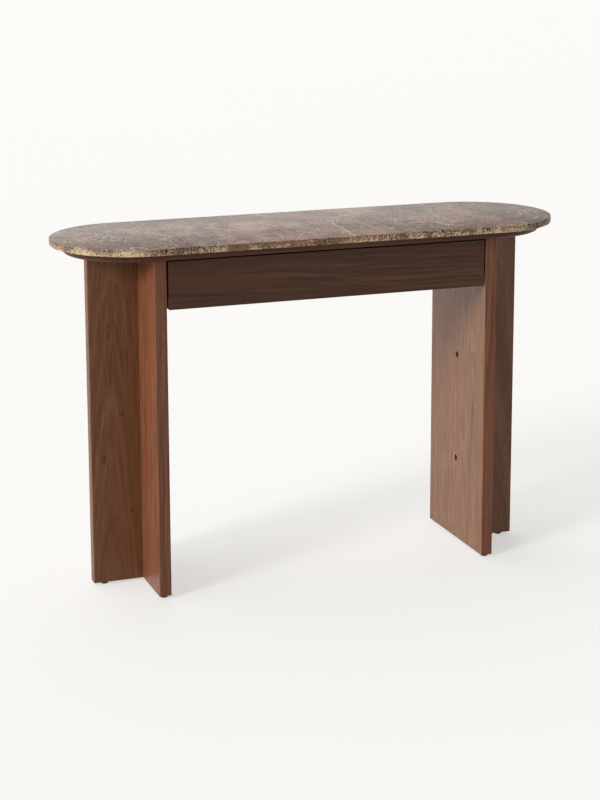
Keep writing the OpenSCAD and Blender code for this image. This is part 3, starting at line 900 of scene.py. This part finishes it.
@dataclass
class StoneTop:
    """The marble slab: a stadium with a broken edge all round.

    Attributes:
        end_segments: faces round a quarter of an end.
        column: distance between the edge's columns of vertices.
        rows: rows of faces up the edge.
        arris: how far the flat top stays back from the edge.
        chip: how deep the broken edge is chipped.
        chip_size: typical size of a chip.
        finish: the stone's honed faces.
        edge_finish: the stone's broken edge.
    """

    end_segments: int = 60
    column: float = 5 * MM
    rows: int = 5
    arris: float = 2.2 * MM
    chip: float = 2.4 * MM
    chip_size: float = 6 * MM
    finish: BrownMarble = field(
        default_factory=lambda: BrownMarble(
            "honed_brown_marble",
            veins=(
                Vein(through=(0.054, -0.075, 0.8), across=(0.996, -0.086, 0.0), reach=0.11, width_mm=2.6),
                Vein(through=(0.568, -0.008, 0.8), across=(0.987, -0.158, 0.0), reach=0.05, width_mm=1.8),
                Vein(through=(-0.153, -0.115, 0.8), across=(0.964, 0.265, 0.0), reach=0.03, width_mm=1.8),
            ),
        )
    )
    edge_finish: BrownMarble = BrownMarble(
        "split_brown_marble",
        browns=("26170d", "472e1b", "67482f"),
        cloud="684a33",
        calcite="c9ae8e",
        roughness=0.6,
        net_share=0.5,
        mottle=0.9,
        mottle_mm=2.8,
    )

    def build(self) -> None:
        """Models the slab and its broken edge, and dresses it."""
        low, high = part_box("stone_top")
        slab = round_ended_slab("marble_top", low, high, self.end_segments)
        self._divide_edge(slab, low, high)
        self._break_edge(slab, low, high)
        smooth(slab, 50.0)
        hand_over(slab, "stone_top", self.finish.material())
        near = 0.9 * self.arris
        dress_faces(
            slab, self.edge_finish.material(), lambda face: edge_distance(face.center, low, high) < near
        )

    def _divide_edge(self, slab: Piece, low: Vector, high: Vector) -> None:
        """Insets the flat faces and divides the edge into small faces."""
        edit_faces(slab, lambda middle, normal: abs(normal.z) > 0.9)
        bpy.ops.mesh.inset(thickness=self.arris, use_individual=False)
        straight = (high.x - low.x) - (high.y - low.y)
        count = int(straight / self.column)
        edit_edges(slab, lambda a, b: abs(a.x - b.x) > 0.9 * straight)
        bpy.ops.mesh.subdivide(number_cuts=count)
        edit_edges(slab, lambda a, b: abs(a.z - b.z) > 0.5 * (high.z - low.z))
        bpy.ops.mesh.subdivide(number_cuts=self.rows - 1)
        deselect_all()

    def _break_edge(self, slab: Piece, low: Vector, high: Vector) -> None:
        """Eases the arrises and chips the edge inwards, as a split edge is."""
        band = slab.vertex_groups.new(name="edge")
        rim_z = (low.z, high.z)
        inner = self.arris * 0.5
        for vertex in slab.data.vertices:
            away = edge_distance(vertex.co, low, high)
            if away > inner:
                continue
            near_arris = min(abs(vertex.co.z - z) for z in rim_z) < 0.1 * MM
            band.add([vertex.index], 1.0 if near_arris else 0.75, "REPLACE")
        chips = bpy.data.textures.new("chips", "CLOUDS")
        chips.noise_scale = self.chip_size
        chips.noise_depth = 2
        chips.noise_basis = "VORONOI_F1"
        apply_modifier(
            slab,
            "DISPLACE",
            texture=chips,
            texture_coords="LOCAL",
            vertex_group="edge",
            mid_level=1.0,
            strength=self.chip,
        )


def edge_distance(point: Vector, low: Vector, high: Vector) -> float:
    """How far inside a round-ended outline a point lies, seen from above.

    Args:
        point: the point.
        low: the outline's lowest corner.
        high: the outline's highest corner.

    Returns:
        The distance to the outline, in metres.
    """
    radius = (high.y - low.y) / 2
    straight = (high.x - low.x) / 2 - radius
    middle = (low + high) / 2
    along = max(abs(point.x - middle.x) - straight, 0.0)
    return radius - math.hypot(along, point.y - middle.y)


def round_ended_slab(name: str, low: Vector, high: Vector, segments: int) -> Piece:
    """Models a slab with round ends.

    Args:
        name: the piece's name.
        low: lowest corner.
        high: highest corner.
        segments: faces round a quarter of an end.

    Returns:
        The slab.
    """
    slab = add_block(name, low, high)
    round_edges(slab, runs_along(Axis.Z), (high.y - low.y) / 2, segments)
    return slab


@dataclass
class SubTop:
    """The board under the stone, with a rounded lower edge.

    Attributes:
        end_segments: faces round a quarter of an end.
        lower_round: radius of the lower edge.
        upper_ease: radius of the upper edge.
        finish: its veneer.
    """

    end_segments: int = 48
    lower_round: float = 6 * MM
    upper_ease: float = 0.8 * MM
    finish: Walnut = Walnut(
        "walnut_veneer_sub_top",
        heart=(0.0, 0.30, 0.70),
        turn=(0.0, 90.0, 1.0),
        dark="331b0c",
        middle="462714",
        light="57331e",
        warm="512713",
        gloss=0.28,
    )

    def build(self) -> None:
        """Models the board, cuts the dots' pockets, and dresses it."""
        low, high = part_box("sub_top")
        board = round_ended_slab("sub_top_board", low, high, self.end_segments)
        round_edges(board, lambda a, b: max(a.z, b.z) < low.z + 0.1 * MM, self.lower_round, 5)
        round_edges(board, lambda a, b: min(a.z, b.z) > high.z - 0.1 * MM, self.upper_ease, 2)
        for dot_low, dot_high in solids_of("stone_dots"):
            radius = (dot_high.x - dot_low.x) / 2 + 0.05 * MM
            cut_round(board, (dot_low + dot_high) / 2 + Vector((0, 0, 0.5 * MM)), Axis.Z, radius, 2.5 * MM)
        smooth(board)
        apply_modifier(board, "WEIGHTED_NORMAL", keep_sharp=True)
        hand_over(board, "sub_top", self.finish.material())


POCKET_GAP = {"leg_bolt_washers": 0.3 * MM, "cam_locks": 0.05 * MM}


@dataclass
class Board:
    """A flat board: a block with eased edges, pockets and grooves.

    Attributes:
        node: the CAD node that it stands for.
        name: the piece's name.
        slot: the record's material slot; not used.
        finish: its wood.
        thickness: the direction across the board.
        rounded: the direction of the edges that have a larger round, or None.
        round_radius: radius of that round.
        keep: says of such an edge's two ends whether it is rounded.
        ease: radius of all other edges.
        pockets: nodes whose solids sit in round pockets of the board.
        grooved_for: a board that sits in a groove of this one, or None.
        edge_finish: veneer strip on the board's front and back edges, or None where it is the same.
    """

    node: str
    name: str
    slot: str
    finish: Walnut
    thickness: Axis
    rounded: Axis | None = None
    round_radius: float = 2.5 * MM
    keep: EdgeTest = lambda a, b: True
    ease: float = 0.6 * MM
    pockets: tuple[str, ...] = ()
    grooved_for: str | None = None
    edge_finish: Walnut | None = None

    def build(self) -> None:
        """Models the board and dresses it."""
        low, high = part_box(self.node)
        board = add_block(self.name, low, high)
        if self.rounded is not None:
            along = runs_along(self.rounded)
            round_edges(board, lambda a, b: along(a, b) and self.keep(a, b), self.round_radius, 4)
        self._cut_pockets(board, low, high)
        self._cut_groove(board)
        apply_modifier(
            board, "BEVEL", width=self.ease, segments=2, limit_method="ANGLE", angle_limit=math.radians(50)
        )
        smooth(board)
        apply_modifier(board, "WEIGHTED_NORMAL", keep_sharp=True)
        hand_over(board, self.node, self.finish.material())
        if self.edge_finish is not None:
            dress_faces(board, self.edge_finish.material(), lambda face: abs(face.normal.y) > 0.6)

    def _cut_pockets(self, board: Piece, low: Vector, high: Vector) -> None:
        """Cuts a round pocket for each solid that sits in a face of the board."""
        axis = self.thickness.value
        middle = (low + high) / 2
        for node in self.pockets:
            for solid_low, solid_high in solids_of(node):
                centre = (solid_low + solid_high) / 2
                if any(not low[i] <= centre[i] <= high[i] for i in range(3)):
                    continue
                size = solid_high - solid_low
                radius = max(size[(axis + 1) % 3], size[(axis + 2) % 3]) / 2 + POCKET_GAP[node]
                faces_up = centre[axis] > middle[axis]
                end = high[axis] + 1 * MM if faces_up else low[axis] - 1 * MM
                deep = solid_low[axis] if faces_up else solid_high[axis]
                centre[axis] = (end + deep) / 2
                cut_round(board, centre, self.thickness, radius, abs(end - deep))

    def _cut_groove(self, board: Piece) -> None:
        """Cuts the groove that another board sits in."""
        if self.grooved_for is None:
            return
        low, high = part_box(self.grooved_for)
        gap = Vector((0.1, 0.1, 0.1)) * MM
        cut(board, add_block("groove_tool", low - gap, high + gap))


@dataclass
class Legs:
    """Two T-shaped legs, each a deep cross panel with a narrower outer panel.

    Attributes:
        cross_hearts: heart line's point of each cross panel's log.
        outer_hearts: the same for the outer panels.
        strip: the veneer strip on the cross panels' front and back edges.
        knots: places and radii of the small knots in the left outer panel's front.
        cross_colours: each cross panel's colours, as its finish names them.
        outer_colours: the same for the outer panels.
    """

    cross_hearts: dict[str, tuple[float, float, float]] = field(
        default_factory=lambda: {"left": (0.02, 0.30, 0.0), "right": (0.333, -0.100, 0.20)}
    )
    outer_hearts: dict[str, tuple[float, float, float]] = field(
        default_factory=lambda: {"left": (-0.478, 0.035, 0.10), "right": (0.47, 0.09, 0.05)}
    )

    strip: Walnut = Walnut(
        "walnut_edge_strip",
        heart=(0.0, -0.06, 0.0),
        turn=(0.6, 1.4, 0.0),
        dark="472714",
        middle="613a23",
        light="794b32",
        warm="6d3a25",
        streak=0.9,
    )
    knots: tuple[tuple[float, float, float, float], ...] = (
        (-0.4945, -0.014, 0.296, 0.0065),
        (-0.4512, -0.014, 0.399, 0.004),
        (-0.4326, -0.014, 0.170, 0.004),
    )
    cross_colours: dict[str, dict[str, str]] = field(
        default_factory=lambda: {
            "left": {"dark": "4d2c18", "middle": "6e422b", "light": "8a5b41", "warm": "7d432d"},
            "right": {"dark": "4d3019", "middle": "6c472b", "light": "876042", "warm": "74462a"},
        }
    )
    outer_colours: dict[str, dict[str, str]] = field(
        default_factory=lambda: {
            "left": {"dark": "472a14", "middle": "603c20", "light": "72492b", "warm": "65381e"},
            "right": {"dark": "573620", "middle": "734b2e", "light": "875d3e", "warm": "73452c"},
        }
    )

    def build(self) -> None:
        """Models and dresses the four panels."""
        for side, sign in SIDES.items():
            self._cross_panel(side)
            self._outer_panel(side, sign)

    def _cross_panel(self, side: str) -> None:
        """The panel that runs front to back, with the bolts' recesses in its inner face."""
        Board(
            node=f"{side}_cross_panel",
            name=f"{side}_cross_board",
            slot="walnut",
            finish=Walnut(
                f"walnut_veneer_{side}_cross",
                heart=self.cross_hearts[side],
                turn=(-0.8, -2.8, 0.0),
                streak=0.7,
                gloss=0.32 if side == "left" else 0.48,
                **self.cross_colours[side],
            ),
            edge_finish=self.strip,
            thickness=Axis.X,
            rounded=Axis.Z,
            pockets=("leg_bolt_washers", "cam_locks"),
        ).build()

    def _outer_panel(self, side: str, sign: int) -> None:
        """The panel that stands on the cross panel's outer face, square where the two meet."""
        low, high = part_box(f"{side}_outer_panel")
        middle = (low.x + high.x) / 2
        Board(
            node=f"{side}_outer_panel",
            name=f"{side}_outer_board",
            slot="walnut",
            finish=Walnut(
                f"walnut_veneer_{side}_outer",
                heart=self.outer_hearts[side],
                turn=(-3.4, 0.6, 0.0),
                line_share=0.18,
                knots=self.knots if side == "left" else (),
                **self.outer_colours[side],
            ),
            thickness=Axis.Y,
            rounded=Axis.Z,
            keep=lambda a, b: sign * (a.x - middle) > 0,
            pockets=("cam_locks",),
        ).build()


@dataclass
class RearApron:
    """The rail at the back, between the cross panels.

    Attributes:
        finish: its veneer.
    """

    finish: Walnut = Walnut("walnut_veneer_apron", heart=(0.1, -0.16, 0.66), turn=(0.0, 90.0, 1.2))

    def build(self) -> None:
        """Models and dresses the rail."""
        Board(
            node="rear_apron",
            name="rear_apron_board",
            slot="walnut",
            finish=self.finish,
            thickness=Axis.Y,
            pockets=("cam_locks",),
        ).build()


@dataclass
class Drawer:
    """The drawer: a walnut front on a box of five boards.

    Attributes:
        front_finish: the front's veneer, with the grain along the table.
        corner_round: radius of the front's outline corners.
        box_colours: dark, middle, light and warm colours of the box boards' lacquered veneer.
    """

    front_finish: Walnut = Walnut(
        "walnut_veneer_drawer_front",
        heart=(0.0, 0.10, 0.60),
        turn=(0.0, 91.4, 0.6),
        streak=0.8,
        dark="301b0c",
        middle="402512",
        light="4f311c",
        warm="4d2511",
        gloss=0.28,
    )
    corner_round: float = 2.5 * MM
    box_colours: tuple[str, str, str, str] = ("6a4a33", "856044", "9c7656", "855a3e")

    def build(self) -> None:
        """Models and dresses the front and the box."""
        Board(
            node="drawer_front",
            name="drawer_front_board",
            slot="walnut",
            finish=self.front_finish,
            thickness=Axis.Y,
            rounded=Axis.Y,
            round_radius=self.corner_round,
        ).build()
        for part, thickness, turn in (
            ("box_front", Axis.Y, (0.0, 90.0, 0.5)),
            ("left_side", Axis.X, (-90.0, 0.0, 0.5)),
            ("right_side", Axis.X, (-90.0, 0.0, -0.5)),
            ("back", Axis.Y, (0.0, 90.0, -0.5)),
            ("bottom", Axis.Z, (0.0, 90.0, 0.8)),
        ):
            self._box_board(part, thickness, turn)

    def _box_board(self, part: str, thickness: Axis, turn: tuple[float, float, float]) -> None:
        """One board of the box, grooved for the bottom unless it is the bottom."""
        dark, middle, light, warm = self.box_colours
        low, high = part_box(f"drawer_{part}")
        heart = (low + high) / 2 + Vector((0.06, 0.05, -0.11))
        Board(
            node=f"drawer_{part}",
            name=f"drawer_{part}_board",
            slot="drawer_wood",
            finish=Walnut(
                f"lacquered_veneer_{part}",
                heart=tuple(heart),
                turn=turn,
                dark=dark,
                middle=middle,
                light=light,
                warm=warm,
            ),
            thickness=thickness,
            ease=0.5 * MM,
            grooved_for=None if part == "bottom" else "drawer_bottom",
        ).build()


def both_sides(*parts: str) -> list[str]:
    """Node names of these parts on the left and on the right."""
    return [f"{side}_{part}" for side in SIDES for part in parts]


@dataclass
class Hardware:
    """Slides, fixings, dowels, dots and glides, which keep their CAD shapes.

    Attributes:
        rolled: zinc-plated strip of the slide members, with marks along its rolling.
        stamped: duller strip of the ball cages.
        polished: hardened bearing balls.
        plated: zinc-plated screws, nails, washers and cam locks.
        bronzed: bronze-brown bolts.
        turned: turned brass inserts.
        beech: fluted dowels.
        glide: nylon glides.
        cover: brown plastic covers.
        rubber: buffers.
        silicone: clear dots under the stone.
    """

    rolled: Metal = Metal("zinc_plated_rolled_steel", "b9bcc0", 0.30, 1.2, Axis.Y)
    stamped: Metal = Metal("stamped_cage_steel", "a3a5a8", 0.38, 0.8, Axis.Y)
    polished: Metal = Metal("polished_bearing_steel", "d6d8da", 0.14, 2.0)
    plated: Metal = Metal("zinc_plated_steel", "bfc1c4", 0.32, 0.7)
    bronzed: Metal = Metal("bronzed_steel", "7a5138", 0.42, 0.6)
    turned: Metal = Metal("turned_brass", "c9a24f", 0.30, 0.5)
    glide: Moulded = Moulded("black_nylon_glide", "1b1a19", 0.5, 1.53)
    cover: Moulded = Moulded("brown_polypropylene", "4a2f20", 0.45, 1.49)
    rubber: Moulded = Moulded("black_buffer_rubber", "161616", 0.7, 1.52)
    silicone: Moulded = Moulded("milky_silicone", "d9d8d2", 0.45, 1.41)

    def build(self) -> None:
        """Dresses every piece of hardware."""
        beech = Walnut(
            "fluted_beech",
            heart=(0.0, 0.0, 0.0),
            dark="a87c4f",
            middle="c49a68",
            light="d8b484",
            warm="c08f5e",
            ring_mm=3.0,
        )
        for finish, nodes in (
            (self.rolled, both_sides("slide_outer", "slide_middle", "slide_inner")),
            (self.stamped, both_sides("outer_cage", "inner_cage")),
            (self.polished, both_sides("outer_balls", "inner_balls")),
            (
                self.plated,
                [
                    "leg_bolt_washers",
                    "cam_locks",
                    "cam_pins",
                    "glide_nails",
                    "slide_frame_screws",
                    "slide_drawer_screws",
                    "drawer_front_screws",
                ],
            ),
            (self.bronzed, ["leg_bolts"]),
            (self.turned, ["leg_bolt_inserts"]),
            (self.glide, ["foot_glides"]),
            (self.cover, ["cam_covers"]),
            (self.rubber, ["slide_buffers"]),
            (self.silicone, ["stone_dots"]),
            (beech, ["leg_dowels", "top_dowels", "apron_dowels", "drawer_dowels"]),
        ):
            dress(nodes, finish.material())


@dataclass
class Studio:
    """A pale floor, a soft key from the left and front, and the camera.

    Attributes:
        camera_at: the camera's place from the middle of the table's footprint, on the floor.
        azimuth: how far round to the left the camera stands, in degrees.
        elevation: how far down it looks, in degrees.
        roll: its roll, in degrees.
        lens: focal length in millimetres, on a 36 mm sensor.
        rise: vertical lens shift, as a share of the picture's long side.
        floor_size: side of the floor.
        floor_colour: sRGB hex colour that the floor's acrylic has when it isn't lit from below.
        floor_glow: the light that comes up through the floor, which lightens the shadows.
        glow_colour: sRGB hex colour of that light.
        key_way: the direction that the key's light travels.
        key_width: how wide the key looks from the table, in degrees.
        key_strength: the key's light on a surface that faces it.
        wall_colour: sRGB hex colour of the walls.
        wall_strength, dark_strength: light from the white walls, and from the dark side.
    """

    camera_at: tuple[float, float, float] = (-1.5264, -4.1003, 1.5407)
    azimuth: float = 20.185
    elevation: float = 11.259
    roll: float = -0.149
    lens: float = 87.09
    rise: float = -0.15
    floor_size: float = 120.0
    floor_colour: str = "9f9e9d"
    floor_glow: float = 0.558
    glow_colour: str = "fffefc"
    key_way: tuple[float, float, float] = (1.0, 0.45, -0.45)
    key_width: float = 17.0
    key_strength: float = 2.5
    wall_colour: str = "fdfcfa"
    wall_strength: float = 1.62
    dark_strength: float = 0.06

    def build(self) -> None:
        """Sets the view, the floor, the lights and the camera."""
        bpy.context.scene.view_settings.view_transform = "Standard"
        self._floor()
        self._world()
        self._key()
        self._camera()

    def _floor(self) -> None:
        """A plain matt floor of white acrylic, lit from below as well as from above."""
        deselect_all()
        bpy.ops.mesh.primitive_plane_add(size=self.floor_size)
        floor = bpy.context.object
        floor.name = "studio_floor"
        material, tree, place = new_material("matt_white_acrylic")
        mottle = add_node(tree, "TexNoise", {"Vector": place, "Scale": 0.7, "Detail": 2.0})
        rough = add_node(tree, "MapRange", {"Value": mottle.outputs["Fac"], "To Min": 0.85, "To Max": 0.95})
        shader = add_node(
            tree,
            "BsdfPrincipled",
            {
                "Base Color": linear(self.floor_colour),
                "Roughness": rough.outputs[0],
                "Specular IOR Level": 0.1,
                "Emission Color": linear(self.glow_colour),
                "Emission Strength": self.floor_glow,
            },
        )
        finish_material(tree, shader)
        floor.data.materials.append(material)

    def _world(self) -> None:
        """White walls to the left, behind and above, and a dark room on the camera's side."""
        world = bpy.data.worlds.new("studio")
        world.use_nodes = True
        tree = world.node_tree
        tree.nodes.clear()
        way = add_node(tree, "TexCoord").outputs["Generated"]
        towards_wall = add_node(tree, "VectorMath", {0: way, 1: (-0.6, 0.75, 0.4)}, operation="DOT_PRODUCT")
        strength = add_node(
            tree,
            "MapRange",
            {
                "Value": towards_wall.outputs["Value"],
                "From Min": -0.15,
                "From Max": 0.75,
                "To Min": self.dark_strength,
                "To Max": self.wall_strength,
            },
        )
        light = add_node(
            tree, "Background", {"Color": linear(self.wall_colour), "Strength": strength.outputs[0]}
        )
        add_node(tree, "OutputWorld", {"Surface": light.outputs[0]})
        bpy.context.scene.world = world

    def _key(self) -> None:
        """The key: a large soft light, far enough away to light the floor evenly."""
        data = bpy.data.lights.new("key", "SUN")
        data.angle = math.radians(self.key_width)
        data.energy = self.key_strength
        lamp = bpy.data.objects.new("key", data)
        way = Vector(self.key_way)
        lamp.location = -2.0 * way
        lamp.rotation_mode = "QUATERNION"
        lamp.rotation_quaternion = way.to_track_quat("-Z", "Y")
        bpy.context.scene.collection.objects.link(lamp)

    def _camera(self) -> None:
        """The camera, on its tripod in front and to the left."""
        data = bpy.data.cameras.new("camera")
        data.lens = self.lens
        data.sensor_width = 36.0
        data.shift_y = self.rise
        camera = bpy.data.objects.new("camera", data)
        camera.location = self.camera_at
        turn = Quaternion((0.0, 0.0, 1.0), math.radians(-self.azimuth))
        turn = turn @ Quaternion((1.0, 0.0, 0.0), math.radians(90.0 - self.elevation))
        turn = turn @ Quaternion((0.0, 0.0, 1.0), math.radians(self.roll))
        camera.rotation_euler = turn.to_euler()
        bpy.context.scene.collection.objects.link(camera)
        bpy.context.scene.camera = camera


def main() -> None:
    """Builds the studio and the table."""
    logging.basicConfig(level=logging.INFO, format="%(name)s: %(message)s")
    Studio().build()
    StoneTop().build()
    SubTop().build()
    Legs().build()
    RearApron().build()
    Drawer().build()
    Hardware().build()


if __name__ == "__main__":
    main()
